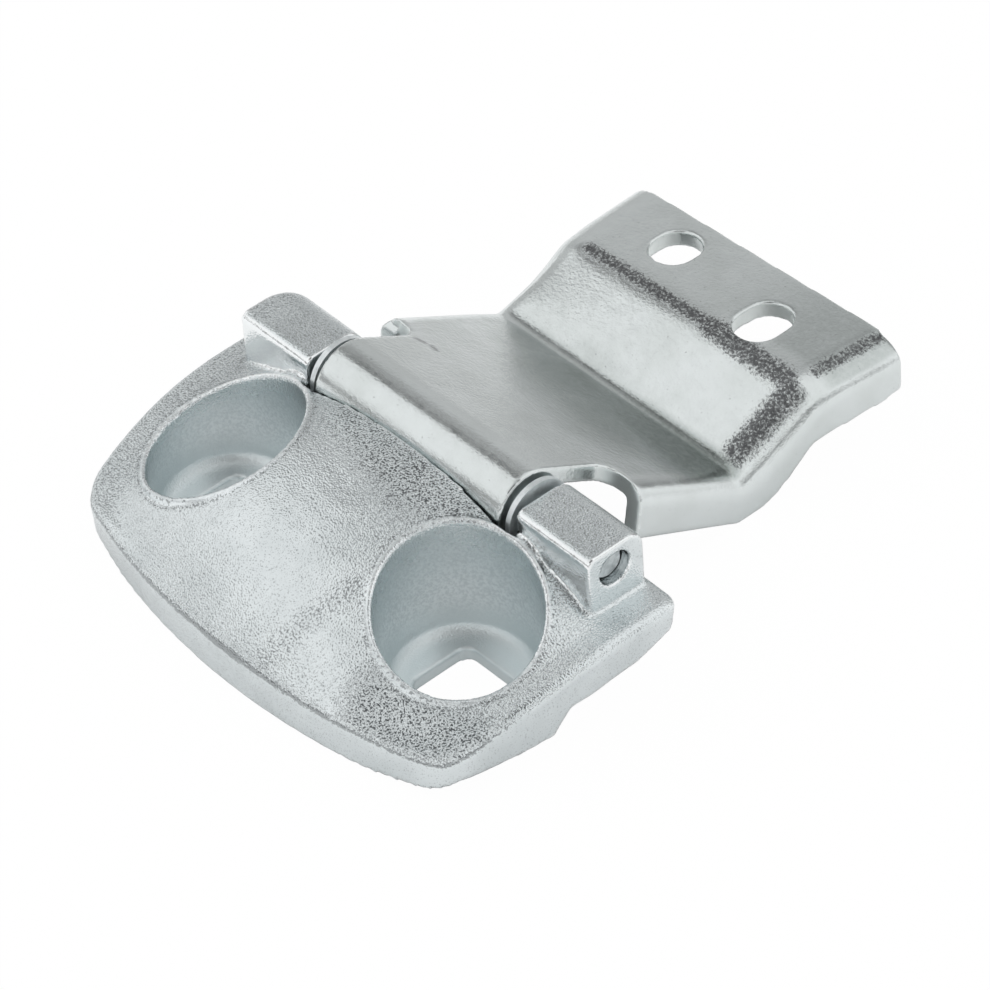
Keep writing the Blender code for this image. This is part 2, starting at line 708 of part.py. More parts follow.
def build_pin(parts):
    """Plain pin, pressed into the knuckles a little below their end faces."""
    bpy.ops.mesh.primitive_cylinder_add(
        vertices=ROUND_FACETS, radius=PIN_RADIUS, depth=2 * (KNUCKLE_OUTER - PIN_RECESS),
        location=PIN_AXIS, rotation=(0.0, math.radians(90.0), 0.0))
    pin = bpy.context.active_object
    pin.name = "hinge_pin"
    for collection in list(pin.users_collection):
        collection.objects.unlink(pin)
    parts.objects.link(pin)
    edge = pin.modifiers.new("End chamfer", "BEVEL")
    edge.width = PIN_CHAMFER
    edge.segments = 1
    edge.limit_method = "ANGLE"
    pin.data.materials.append(metal("plated_pin", (0.50, 0.52, 0.53), 0.35))
    smooth_shading(pin)
    return pin


def build_bush(name, side, parts):
    """Turned bush: a sleeve in the barrel's end and a flange that faces the knuckle."""
    profile = [
        (BUSH_FLANGE_RADIUS, FLANGE_OUTER),
        (BUSH_FLANGE_RADIUS, FLANGE_INNER),
        (BUSH_RADIUS, FLANGE_INNER),
        (BUSH_RADIUS, FLANGE_INNER - BUSH_SLEEVE),
        (BORE_RADIUS, FLANGE_INNER - BUSH_SLEEVE),
        (BORE_RADIUS, FLANGE_OUTER),
    ]
    mesh = bpy.data.meshes.new(name)
    edges = [(index, (index + 1) % len(profile)) for index in range(len(profile))]
    mesh.from_pydata([(radius, 0.0, z) for radius, z in profile], edges, [])
    bush = add_object(name, mesh, parts)
    bush.rotation_euler = (0.0, math.radians(90.0 * side), 0.0)
    turn = bush.modifiers.new("Turned", "SCREW")
    turn.axis = "Z"
    turn.steps = ROUND_FACETS
    turn.render_steps = ROUND_FACETS
    turn.use_merge_vertices = True
    turn.merge_threshold = 0.00001
    bush.data.materials.append(metal("plated_bush", (0.58, 0.60, 0.60), 0.30))
    return bush


clear_scene()
hinge_parts = new_collection("rear_door_hinge")
hinge_cutters = new_collection("cutters")
build_cast_leaf(hinge_parts, hinge_cutters)
build_pressed_leaf(hinge_parts, hinge_cutters)
build_pin(hinge_parts)
build_bush("left_bush", -1, hinge_parts)
build_bush("right_bush", 1, hinge_parts)
bpy.context.view_layer.update()
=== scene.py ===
import math

import bmesh
import bpy
import numpy as np
from mathutils import Matrix, Vector


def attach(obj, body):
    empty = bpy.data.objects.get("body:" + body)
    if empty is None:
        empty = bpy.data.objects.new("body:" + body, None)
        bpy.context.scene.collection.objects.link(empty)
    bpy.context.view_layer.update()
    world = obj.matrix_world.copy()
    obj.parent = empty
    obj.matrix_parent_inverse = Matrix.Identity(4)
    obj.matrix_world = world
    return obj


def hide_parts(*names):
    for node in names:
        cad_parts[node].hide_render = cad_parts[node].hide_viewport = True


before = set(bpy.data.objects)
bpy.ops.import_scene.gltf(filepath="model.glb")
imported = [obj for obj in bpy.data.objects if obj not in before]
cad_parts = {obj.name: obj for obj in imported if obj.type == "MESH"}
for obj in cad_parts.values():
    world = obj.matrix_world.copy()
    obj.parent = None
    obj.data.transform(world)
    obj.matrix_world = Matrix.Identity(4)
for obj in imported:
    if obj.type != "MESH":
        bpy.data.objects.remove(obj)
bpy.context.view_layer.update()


# The cast leaf: one iron casting with a domed top, two round cups and two knuckles.
# It was cast in sand, tumbled and zinc plated: pebbly skin with painted shade in its pits, rougher
# patches with more of that painted shade, smooth cups with painted shade towards their floors, a
# painted highlight on sharp edges and knuckle fronts, dark dots along the front edge, and dots of
# painted shade at the foot of the cups' rims.

CAST_VOXEL = 0.00063
CAST_ROUNDS = 3
CAST_SKIN = {"Lump Size": 0.009, "Lump Height": 0.00018, "Grain Size": 0.0018, "Grain Height": 0.00005,
             "Seed": 3.0}
CUP_PLACES = ((-0.0368, -0.04415), (0.0368, -0.04415))
CUP_MOUTH = 0.0178
CUP_BLEND = 0.0012
LIP = (0.0178, 0.0189)
LIP_CALM = 0.6
# Painted shade: dark dots in the corner at the foot of each cup's rim.
RIM_FOOT = 0.0193
RIM_FOOT_WIDTH = 0.0006
RIM_SHADE_SHARE = 0.5
FLOW_MARK = ((0.0105, -0.0755), (0.0150, -0.0652), (0.0183, -0.0555))
FLOW_MARK_WIDTH = 0.0034
FLOW_MARK_SHARE = 0.33
FLOW_MARK_FACING = 0.6
EDGE_FROM = (0.045, 0.060)
EDGE_LOWER, EDGE_UPPER = (0.10, 0.22), (0.40, 0.55)
# Painted highlight: a bright tone on sharp convex edges and on the knuckle fronts, for the light they
# catch.
HIGHLIGHT_BEND = (260.0, 620.0)
HIGHLIGHT_BEHIND = -0.055
KNUCKLE_FRONT_FACING = -0.6
KNUCKLE_FRONT_BEHIND = -0.032
KNUCKLE_FRONT_ABOVE = (0.022, 0.025)
KNUCKLE_FRONT_HIGHLIGHT = 0.9
# Rougher patches at the rear, the front right corner and the left border, with more painted pit shade.
REAR_PATCH = ((-0.0130, -0.0265), (0.0110, -0.0320), (0.0230, -0.0300))
REAR_PATCH_WIDTH = 0.0110
CORNER_PATCH = ((0.0370, -0.0680), (0.0470, -0.0645), (0.0570, -0.0600))
CORNER_PATCH_WIDTH = 0.0090
LEFT_BORDER = (0.044, 0.052)
LEFT_BORDER_SHARE = 0.45
PATCH_FACING = (0.35, 0.60)
CAST_LIGHT = (0.74, 0.785, 0.795, 1)
CAST_SHADE = (0.665, 0.71, 0.72, 1)
# The colour of the dark marks, and of the painted shade in the grain's pits.
CAST_MARKS_AND_PIT_SHADE = (0.05, 0.055, 0.06, 1)
CAST_CLOUDS = 60.0
CAST_ROUGHNESS = (0.10, 0.16)
# The painted highlight's tone, and how much of it is mixed in.
HIGHLIGHT_TONE = (0.95, 0.97, 0.975, 1)
HIGHLIGHT_SHARE = 0.85
CUP_TONE = (0.93, 0.975, 0.985, 1)
CUP_SHADE = (0.78, 0.83, 0.845, 1)
# Painted shade: the cups turn darker towards their floors.
CUP_DEPTH_SHADE = (0.78, 0.835, 0.845, 1)
CUP_LOW = (0.005, 0.014)
CUP_CLOUDS = (1500.0, 2.0, 0.6)
CUP_CLOUD_LEVELS = (0.35, 0.65)
CUP_ROUGHNESS = 0.42
CLOUD_DETAIL, CLOUD_LEVELS = (4.0, 0.6), (0.36, 0.66)
FINE_CLOUDS, FINE_CLOUD_DETAIL, FINE_CLOUD_LEVELS = 5.0, (3.0, 0.6), (0.3, 0.7)
PEBBLES = 2500.0
PEBBLE_HEIGHT = 0.00045
FINE_PEBBLES, FINE_PEBBLE_SHARE = 1.9, 0.35
# Painted shade: the grain's pits are darkened, more deeply in the rougher patches.
PIT_LEVELS = (0.52, 0.40)
PIT_SHARE = 0.3
DEEP_PIT_LEVELS = (0.68, 0.46)
PIT_DARKNESS = 0.9
DOTS = 2100.0
DOT_LIFT = 0.3
DOT_LEVELS = (0.60, 0.68)
MARK_FROM = 0.05
DOT_DARKNESS = 0.55
CUP_RELIEF = 0.35
DOME_RELIEF = 0.34


def baked(piece):
    """Runs a piece's modifiers and keeps the plain mesh."""
    graph = bpy.context.evaluated_depsgraph_get()
    mesh = bpy.data.meshes.new_from_object(piece.evaluated_get(graph))
    piece.modifiers.clear()
    piece.data = mesh
    return piece


def soft_copy(node, name, voxel, rounds):
    """A copy of a CAD node with its facets melted together and its sharp edges eased."""
    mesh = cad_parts[node].data.copy()
    mesh.materials.clear()
    body = bmesh.new()
    body.from_mesh(mesh)
    bmesh.ops.remove_doubles(body, verts=body.verts, dist=1e-6)
    body.to_mesh(mesh)
    body.free()
    piece = bpy.data.objects.new(name, mesh)
    bpy.context.scene.collection.objects.link(piece)
    skin = piece.modifiers.new("even skin", "REMESH")
    skin.mode = "VOXEL"
    skin.voxel_size = voxel
    skin.use_smooth_shade = True
    fit = piece.modifiers.new("true to the node", "SHRINKWRAP")
    fit.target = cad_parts[node]
    fit.wrap_method = "NEAREST_SURFACEPOINT"
    ease = piece.modifiers.new("eased edges", "SMOOTH")
    ease.factor = 0.5
    ease.iterations = rounds
    return baked(piece)


def points_of(piece):
    """The piece's points as rows of x, y and z."""
    points = np.empty(len(piece.data.vertices) * 3, np.float32)
    piece.data.vertices.foreach_get("co", points)
    return points.reshape(-1, 3)


def normals_of(piece):
    """The piece's point normals as rows of x, y and z."""
    normals = np.empty(len(piece.data.vertices) * 3, np.float32)
    piece.data.vertices.foreach_get("normal", normals)
    return normals.reshape(-1, 3)


def strongest(*masks):
    """The highest of several masks at each point."""
    return np.maximum.reduce(masks)


def step_up(values, low, high):
    """0 below the low value, 1 above the high one, with a smooth rise between."""
    share = np.clip((values - low) / (high - low), 0, 1)
    return share * share * (3 - 2 * share)


def ease_where(piece, weights, rounds):
    """Smooths the piece further, each point by its own weight."""
    group = piece.vertex_groups.new(name="eased")
    for level in range(1, 11):
        chosen = np.nonzero(np.round(weights * 10) == level)[0]
        group.add(chosen.tolist(), level / 10, "REPLACE")
    ease = piece.modifiers.new("eased further", "SMOOTH")
    ease.factor = 0.5
    ease.iterations = rounds
    ease.vertex_group = group.name
    return baked(piece)


def skin_tree():
    """Geometry nodes that raise low lumps and grain on a surface, along its own normals."""
    tree = bpy.data.node_groups.new("uneven plated skin", "GeometryNodeTree")
    face = tree.interface
    face.new_socket("Geometry", in_out="INPUT", socket_type="NodeSocketGeometry")
    for label in ("Lump Size", "Lump Height", "Grain Size", "Grain Height", "Seed"):
        face.new_socket(label, in_out="INPUT", socket_type="NodeSocketFloat")
    face.new_socket("Material", in_out="INPUT", socket_type="NodeSocketMaterial")
    face.new_socket("Geometry", in_out="OUTPUT", socket_type="NodeSocketGeometry")
    start = tree.nodes.new("NodeGroupInput")
    end = tree.nodes.new("NodeGroupOutput")
    where = tree.nodes.new("GeometryNodeInputPosition")
    normal = tree.nodes.new("GeometryNodeInputNormal")
    heights = []
    for kind in ("Lump", "Grain"):
        scale = tree.nodes.new("ShaderNodeMath")
        scale.operation = "DIVIDE"
        scale.inputs[0].default_value = 1.0
        tree.links.new(start.outputs[kind + " Size"], scale.inputs[1])
        noise = tree.nodes.new("ShaderNodeTexNoise")
        noise.noise_dimensions = "4D"
        noise.inputs["Detail"].default_value = 1.0
        tree.links.new(where.outputs[0], noise.inputs["Vector"])
        tree.links.new(start.outputs["Seed"], noise.inputs["W"])
        tree.links.new(scale.outputs[0], noise.inputs["Scale"])
        centred = tree.nodes.new("ShaderNodeMath")
        centred.operation = "SUBTRACT"
        centred.inputs[1].default_value = 0.5
        tree.links.new(noise.outputs["Fac"], centred.inputs[0])
        height = tree.nodes.new("ShaderNodeMath")
        height.operation = "MULTIPLY"
        tree.links.new(centred.outputs[0], height.inputs[0])
        tree.links.new(start.outputs[kind + " Height"], height.inputs[1])
        heights.append(height)
    total = tree.nodes.new("ShaderNodeMath")
    total.operation = "ADD"
    for height, socket in zip(heights, total.inputs):
        tree.links.new(height.outputs[0], socket)
    offset = tree.nodes.new("ShaderNodeVectorMath")
    offset.operation = "SCALE"
    tree.links.new(normal.outputs[0], offset.inputs[0])
    tree.links.new(total.outputs[0], offset.inputs["Scale"])
    moved = tree.nodes.new("GeometryNodeSetPosition")
    real = tree.nodes.new("GeometryNodeRealizeInstances")
    painted = tree.nodes.new("GeometryNodeSetMaterial")
    tree.links.new(start.outputs["Geometry"], moved.inputs["Geometry"])
    tree.links.new(offset.outputs[0], moved.inputs["Offset"])
    tree.links.new(moved.outputs[0], real.inputs[0])
    tree.links.new(real.outputs[0], painted.inputs["Geometry"])
    tree.links.new(start.outputs["Material"], painted.inputs["Material"])
    tree.links.new(painted.outputs[0], end.inputs[0])
    return tree


def run_tree(piece, tree, **values):
    """Runs a geometry node tree on a piece after its other modifiers and keeps the plain mesh."""
    nodes = piece.modifiers.new(tree.name, "NODES")
    nodes.node_group = tree
    for item in tree.interface.items_tree:
        if item.in_out == "INPUT" and item.name in values:
            nodes[item.identifier] = values[item.name]
    return baked(piece)


def keep_inside(piece, node):
    """Trims the piece's bumps to the box of the CAD node it dresses; gives its points."""
    box = np.array([corner[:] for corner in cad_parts[node].bound_box])
    points = np.clip(points_of(piece), box.min(axis=0), box.max(axis=0)).astype(np.float32)
    piece.data.vertices.foreach_set("co", points.ravel())
    piece.data.update()
    return points


def near_line(points, corners, width):
    """1 near a line drawn in plan, easing to 0 at its width to each side; one number per point."""
    away = np.full(len(points), np.inf)
    for start, end in zip(corners, corners[1:]):
        start, along = np.array(start), np.subtract(end, start)
        share = np.clip((points[:, :2] - start) @ along / (along @ along), 0, 1)
        away = np.minimum(away, np.linalg.norm(points[:, :2] - start - share[:, None] * along, axis=1))
    return np.clip(1.5 - 1.5 * away / width, 0, 1)


def bend_of(piece):
    """How sharply the surface bends outward at each point, in 1/m, averaged with its neighbours."""
    points = points_of(piece)
    normals = normals_of(piece)
    ends = np.empty(len(piece.data.edges) * 2, np.int32)
    piece.data.edges.foreach_get("vertices", ends)
    first, second = ends.reshape(-1, 2).T
    apart = points[second] - points[first]
    squared = (apart ** 2).sum(axis=1)
    bends = np.zeros(len(points))
    count = np.zeros(len(points))
    for here, way in ((first, -1), (second, 1)):
        np.add.at(bends, here, way * 2 * (normals[here] * apart).sum(axis=1) / squared)
        np.add.at(count, here, 1)
    bends /= count
    for _ in range(2):
        spread = bends.copy()
        np.add.at(spread, first, bends[second])
        np.add.at(spread, second, bends[first])
        bends = spread / (count + 1)
    return bends


def keep_mask(piece, name, values):
    """Keeps one number per point on the mesh, for the material to read by name."""
    mask = piece.data.attributes.new(name, "FLOAT", "POINT")
    mask.data.foreach_set("value", values.astype(np.float32))


def new_material(name):
    """A new node material; gives it with its node tree and its shader node."""
    material = bpy.data.materials.new(name)
    material.use_nodes = True
    return material, material.node_tree, material.node_tree.nodes["Principled BSDF"]


def surface_group(name, inputs, outputs):
    """A shader node group with named sockets; gives it with its input and output nodes."""
    group = bpy.data.node_groups.new(name, "ShaderNodeTree")
    kinds = {"c": "NodeSocketColor", "f": "NodeSocketFloat", "v": "NodeSocketVector"}
    for way, sockets in (("INPUT", inputs), ("OUTPUT", outputs)):
        for label, kind in sockets:
            group.interface.new_socket(label, in_out=way, socket_type=kinds[kind])
    return group, group.nodes.new("NodeGroupInput"), group.nodes.new("NodeGroupOutput")


def math_node(tree, operation, first, second, clamp=False):
    """A Math node on two sockets or numbers; gives its output socket."""
    made = tree.nodes.new("ShaderNodeMath")
    made.operation = operation
    made.use_clamp = clamp
    for socket, value in zip(made.inputs, (first, second)):
        if isinstance(value, bpy.types.NodeSocket):
            tree.links.new(value, socket)
        else:
            socket.default_value = value
    return made.outputs[0]


def noise_node(tree, vector, scale, detail=3.0, rough=0.55):
    """A noise over the surface; scale is a socket, or lumps per metre."""
    made = tree.nodes.new("ShaderNodeTexNoise")
    made.inputs["Detail"].default_value = detail
    made.inputs["Roughness"].default_value = rough
    tree.links.new(vector, made.inputs["Vector"])
    if isinstance(scale, bpy.types.NodeSocket):
        tree.links.new(scale, made.inputs["Scale"])
    else:
        made.inputs["Scale"].default_value = scale
    return made.outputs["Fac"]


def spread_node(tree, value, low, high, to_low=0.0, to_high=1.0):
    """A smooth step of a value between two levels."""
    made = tree.nodes.new("ShaderNodeMapRange")
    made.interpolation_type = "SMOOTHSTEP"
    tree.links.new(value, made.inputs["Value"])
    levels = {"From Min": low, "From Max": high, "To Min": to_low, "To Max": to_high}
    for label, number in levels.items():
        if isinstance(number, bpy.types.NodeSocket):
            tree.links.new(number, made.inputs[label])
        else:
            made.inputs[label].default_value = number
    return made.outputs["Result"]


def mix_node(tree, share, first, second):
    """A colour mixed by a share; each colour is a socket or four numbers."""
    made = tree.nodes.new("ShaderNodeMix")
    made.data_type = "RGBA"
    tree.links.new(share, made.inputs["Factor"])
    for label, colour in (("A", first), ("B", second)):
        socket = [s for s in made.inputs if s.name == label and s.type == "RGBA"][0]
        if isinstance(colour, bpy.types.NodeSocket):
            tree.links.new(colour, socket)
        else:
            socket.default_value = colour
    return [s for s in made.outputs if s.type == "RGBA"][0]


def blend_node(tree, share, first, second):
    """A number mixed by a share; each number is a socket or a value."""
    made = tree.nodes.new("ShaderNodeMix")
    tree.links.new(share, made.inputs["Factor"])
    for label, value in (("A", first), ("B", second)):
        socket = [s for s in made.inputs if s.name == label and s.type == "VALUE"][0]
        if isinstance(value, bpy.types.NodeSocket):
            tree.links.new(value, socket)
        else:
            socket.default_value = value
    return [s for s in made.outputs if s.type == "VALUE"][0]


def mask_node(tree, name):
    """The numbers that a mesh keeps under a name, as a socket."""
    made = tree.nodes.new("ShaderNodeAttribute")
    made.attribute_name = name
    return made.outputs["Fac"]


def plating_group():
    """Zinc plating: cloudy patches of two tones, and the roughness that goes with them."""
    group, start, end = surface_group(
        "zinc plating",
        [("Vector", "v"), ("Light", "c"), ("Shade", "c"), ("Cloud Scale", "f"),
         ("Smooth", "f"), ("Rough", "f")],
        [("Color", "c"), ("Roughness", "f")])
    clouds = noise_node(group, start.outputs["Vector"], start.outputs["Cloud Scale"], *CLOUD_DETAIL)
    share = spread_node(group, clouds, *CLOUD_LEVELS)
    colour = mix_node(group, share, start.outputs["Light"], start.outputs["Shade"])
    fine_scale = math_node(group, "MULTIPLY", start.outputs["Cloud Scale"], FINE_CLOUDS)
    fine = noise_node(group, start.outputs["Vector"], fine_scale, *FINE_CLOUD_DETAIL)
    rough = spread_node(group, fine, *FINE_CLOUD_LEVELS, start.outputs["Smooth"], start.outputs["Rough"])
    group.links.new(colour, end.inputs["Color"])
    group.links.new(rough, end.inputs["Roughness"])
    return group


def pebble_group():
    """The grain of a sand casting: rounded pebbles, and the pits between them for painted shade."""
    group, start, end = surface_group(
        "sand cast grain", [("Vector", "v"), ("Pebble Scale", "f")], [("Height", "f"), ("Pits", "f")])
    pebbles = noise_node(group, start.outputs["Vector"], start.outputs["Pebble Scale"], 0.0)
    fine_scale = math_node(group, "MULTIPLY", start.outputs["Pebble Scale"], FINE_PEBBLES)
    fine = noise_node(group, start.outputs["Vector"], fine_scale, 0.0)
    height = math_node(group, "ADD", pebbles, math_node(group, "MULTIPLY", fine, FINE_PEBBLE_SHARE))
    group.links.new(height, end.inputs["Height"])
    group.links.new(spread_node(group, height, *PIT_LEVELS), end.inputs["Pits"])
    return group


def place_group(tree, group, **values):
    """A node of a shader group with its own values; gives the node."""
    made = tree.nodes.new("ShaderNodeGroup")
    made.node_tree = group
    for label, value in values.items():
        socket = made.inputs[label.replace("_", " ")]
        if isinstance(value, bpy.types.NodeSocket):
            tree.links.new(value, socket)
        else:
            socket.default_value = value
    return made


def bump_node(tree, height, distance, strength=1.0, normal=None):
    """A bump of a real height in metres; strength is a socket or a number."""
    made = tree.nodes.new("ShaderNodeBump")
    made.inputs["Distance"].default_value = distance
    tree.links.new(height, made.inputs["Height"])
    if isinstance(strength, bpy.types.NodeSocket):
        tree.links.new(strength, made.inputs["Strength"])
    else:
        made.inputs["Strength"].default_value = strength
    if normal is not None:
        tree.links.new(normal, made.inputs["Normal"])
    return made.outputs["Normal"]


zinc_plating = plating_group()
sand_grain = pebble_group()
plated_skin = skin_tree()

cast_zinc, tree, shader = new_material("zinc plated casting")
coordinates = tree.nodes.new("ShaderNodeTexCoord").outputs["Object"]
calm = mask_node(tree, "calm")
marks_and_painted_rim_shade = mask_node(tree, "marks_and_painted_rim_shade")
rough_patches_and_pit_shade = mask_node(tree, "rough_patches_and_pit_shade")
painted_highlight = mask_node(tree, "painted_highlight")
plating = place_group(tree, zinc_plating, Vector=coordinates, Light=CAST_LIGHT, Shade=CAST_SHADE,
                      Cloud_Scale=CAST_CLOUDS, Smooth=CAST_ROUGHNESS[0], Rough=CAST_ROUGHNESS[1])
grain = place_group(tree, sand_grain, Vector=coordinates, Pebble_Scale=PEBBLES)
rugged = math_node(tree, "SUBTRACT", 1.0, math_node(tree, "MAXIMUM", calm, painted_highlight), True)
# Painted shade in the grain's pits, deeper in the rougher patches.
deep_pits = spread_node(tree, grain.outputs["Height"], *DEEP_PIT_LEVELS)
pits = math_node(tree, "MAXIMUM", math_node(tree, "MULTIPLY", grain.outputs["Pits"], PIT_SHARE),
                 math_node(tree, "MULTIPLY", deep_pits, rough_patches_and_pit_shade))
pits = math_node(tree, "MULTIPLY", math_node(tree, "MULTIPLY", pits, rugged), PIT_DARKNESS)
dots = math_node(tree, "ADD", noise_node(tree, coordinates, DOTS),
                 math_node(tree, "MULTIPLY", marks_and_painted_rim_shade, DOT_LIFT))
dots = math_node(tree, "MULTIPLY", spread_node(tree, marks_and_painted_rim_shade, 0.0, MARK_FROM),
                 spread_node(tree, dots, *DOT_LEVELS))
dark = math_node(tree, "MAXIMUM", pits, math_node(tree, "MULTIPLY", dots, DOT_DARKNESS))
cup_clouds = spread_node(tree, noise_node(tree, coordinates, *CUP_CLOUDS), *CUP_CLOUD_LEVELS)
place = tree.nodes.new("ShaderNodeSeparateXYZ")
tree.links.new(coordinates, place.inputs[0])
# Painted shade: a darker tone low in the cups.
cup_colour = mix_node(tree, spread_node(tree, place.outputs["Z"], *CUP_LOW), CUP_DEPTH_SHADE,
                      mix_node(tree, cup_clouds, CUP_SHADE, CUP_TONE))
toned = mix_node(tree, calm, plating.outputs["Color"], cup_colour)
# Painted highlight: the bright tone is mixed in on sharp edges and knuckle fronts.
toned = mix_node(tree, math_node(tree, "MULTIPLY", painted_highlight, HIGHLIGHT_SHARE), toned, HIGHLIGHT_TONE)
tree.links.new(mix_node(tree, dark, toned, CAST_MARKS_AND_PIT_SHADE), shader.inputs["Base Color"])
tree.links.new(blend_node(tree, calm, plating.outputs["Roughness"], CUP_ROUGHNESS),
               shader.inputs["Roughness"])
relief = math_node(tree, "MULTIPLY", spread_node(tree, rugged, 0.0, 1.0, CUP_RELIEF, 1.0),
                   blend_node(tree, rough_patches_and_pit_shade, DOME_RELIEF, 1.0))
tree.links.new(bump_node(tree, grain.outputs["Height"], PEBBLE_HEIGHT, relief), shader.inputs["Normal"])
shader.inputs["Metallic"].default_value = 1.0

cast_leaf = soft_copy("cast_leaf", "cast_leaf_skin", CAST_VOXEL, CAST_ROUNDS)
# Sharp convex edges get the painted highlight.
edge_highlight = step_up(bend_of(cast_leaf), *HIGHLIGHT_BEND)
run_tree(cast_leaf, plated_skin, Material=cast_zinc, **CAST_SKIN)
points = keep_inside(cast_leaf, "cast_leaf")
across, along, height = points.T
_, facing_rear, facing_up = normals_of(cast_leaf).T
in_cup, on_lip, rim_foot_shade = np.zeros((3, len(points)))
for cup_across, cup_along in CUP_PLACES:
    away = np.hypot(across - cup_across, along - cup_along)
    in_cup = strongest(in_cup, np.clip((CUP_MOUTH - away) / CUP_BLEND, 0, 1))
    on_lip = strongest(on_lip, LIP_CALM * (away > LIP[0]) * (away < LIP[1]))
    # Painted shade in the corner at the foot of the rim.
    rim_foot_shade = strongest(rim_foot_shade, np.clip(1 - abs(away - RIM_FOOT) / RIM_FOOT_WIDTH, 0, 1))
at_edge = step_up(facing_up, *EDGE_LOWER) * (1 - step_up(facing_up, *EDGE_UPPER))
at_edge = at_edge * step_up(-along, *EDGE_FROM) * (in_cup == 0) * (rim_foot_shade == 0)
# The knuckle fronts get the painted highlight as well.
knuckle_front_highlight = (facing_rear < KNUCKLE_FRONT_FACING) * step_up(height, *KNUCKLE_FRONT_ABOVE)
knuckle_front_highlight = KNUCKLE_FRONT_HIGHLIGHT * knuckle_front_highlight * (along > KNUCKLE_FRONT_BEHIND)
bright = strongest(edge_highlight * (along > HIGHLIGHT_BEHIND), knuckle_front_highlight) * (in_cup == 0)
left_border = LEFT_BORDER_SHARE * step_up(-across, *LEFT_BORDER)
patches = strongest(near_line(points, REAR_PATCH, REAR_PATCH_WIDTH),
                    near_line(points, CORNER_PATCH, CORNER_PATCH_WIDTH), left_border)
flow = FLOW_MARK_SHARE * near_line(points, FLOW_MARK, FLOW_MARK_WIDTH) * (facing_up > FLOW_MARK_FACING)
keep_mask(cast_leaf, "calm", strongest(in_cup, on_lip))
keep_mask(cast_leaf, "painted_highlight", bright)
# Rougher patches on the upper faces, with more painted pit shade.
keep_mask(cast_leaf, "rough_patches_and_pit_shade", patches * step_up(facing_up, *PATCH_FACING))
# Dark marks along the front edge and a flow line, and painted shade at the foot of the cups' rims.
keep_mask(cast_leaf, "marks_and_painted_rim_shade", strongest(RIM_SHADE_SHARE * rim_foot_shade, at_edge, flow))
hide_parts("cast_leaf")
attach(cast_leaf, "cast_side")


# The pin: one straight steel pin pressed into both knuckles, its ends a little below their faces.
# It is plated with them; its turned ends, seen only inside the bores, are given darker tones:
# painted shade of the bores.

# Darker than the casting's tones: painted shade of the bores.
PIN_SHADED_TONE = (0.66, 0.70, 0.71, 1)
PIN_SHADED_DARK = (0.50, 0.54, 0.55, 1)
PIN_CLOUDS = 700.0
PIN_ROUGHNESS = (0.30, 0.50)
PIN_GRAIN, PIN_GRAIN_HEIGHT = 2600.0, 0.00006

pin_zinc, tree, shader = new_material("plated pin end")
coordinates = tree.nodes.new("ShaderNodeTexCoord").outputs["Object"]
plating = place_group(tree, zinc_plating, Vector=coordinates, Light=PIN_SHADED_TONE, Shade=PIN_SHADED_DARK,
                      Cloud_Scale=PIN_CLOUDS, Smooth=PIN_ROUGHNESS[0], Rough=PIN_ROUGHNESS[1])
tree.links.new(plating.outputs["Color"], shader.inputs["Base Color"])
tree.links.new(plating.outputs["Roughness"], shader.inputs["Roughness"])
tree.links.new(bump_node(tree, noise_node(tree, coordinates, PIN_GRAIN), PIN_GRAIN_HEIGHT),
               shader.inputs["Normal"])
shader.inputs["Metallic"].default_value = 1.0
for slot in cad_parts["hinge_pin"].material_slots:
    slot.material = pin_zinc


# The two flanged bushes: thin rolled sleeves whose rims stand between the barrel and the knuckles.
# They are pressed into the barrel's ends and turn with it, and only their bright rims show.

BUSH_TONE = (0.86, 0.90, 0.91, 1)
BUSH_SHADE = (0.74, 0.785, 0.795, 1)
BUSH_CLOUDS = 600.0
BUSH_ROUGHNESS = (0.42, 0.55)

bush_metal, tree, shader = new_material("bright bush rim")
coordinates = tree.nodes.new("ShaderNodeTexCoord").outputs["Object"]
plating = place_group(tree, zinc_plating, Vector=coordinates, Light=BUSH_TONE, Shade=BUSH_SHADE,
                      Cloud_Scale=BUSH_CLOUDS, Smooth=BUSH_ROUGHNESS[0], Rough=BUSH_ROUGHNESS[1])
tree.links.new(plating.outputs["Color"], shader.inputs["Base Color"])
tree.links.new(plating.outputs["Roughness"], shader.inputs["Roughness"])
shader.inputs["Metallic"].default_value = 1.0
for node in ("left_bush", "right_bush"):
    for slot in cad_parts[node].material_slots:
        slot.material = bush_metal


# The pressed leaf: one thick steel sheet, stamped and rolled at its near end round the pin.
# It is plated smooth and glossy, with rounded bends, duller cut edges, soft darker clouds, two
# scratches and a few specks, rough bands where the press drew the metal over its bends, dark
# specks of painted shade in their pits, and painted shade near the ramp's foot and on the flange.

SHEET_VOXEL = 0.00056
SHEET_ROUNDS = 5
SHEET_SKIN = {"Lump Size": 0.014, "Lump Height": 0.00012, "Grain Size": 0.003, "Grain Height": 0.00002,
              "Seed": 8.0}
RAMP_FROM = (0.0360, 0.0385)
RAMP_TO = (0.0545, 0.0575)
RAMP_SIDE = (0.0300, 0.0340)
RAMP_ROUNDS = 140
RIGHT_SLOT = (0.0151, 0.0614, 0.0055, 0.0070)
SLOT_CLEAR = (0.0005, 0.002)
FOOT_BEND = ((-0.0330, 0.0352), (0.0335, 0.0352))
FOOT_BEND_WIDTH = 0.0040
FOOT_BEND_SHARE = 0.12
FLANGE_CORNER = ((0.0715, 0.0745), (0.0335, 0.0365))
FLANGE_CORNER_SHARE = 0.2
UPPER_BEND = ((-0.0310, 0.0536), (0.0100, 0.0532))
UPPER_BEND_RIGHT = ((0.0080, 0.0530), (0.0315, 0.0520))
RIGHT_BEND = ((0.0335, 0.0360), (0.0345, 0.0500))
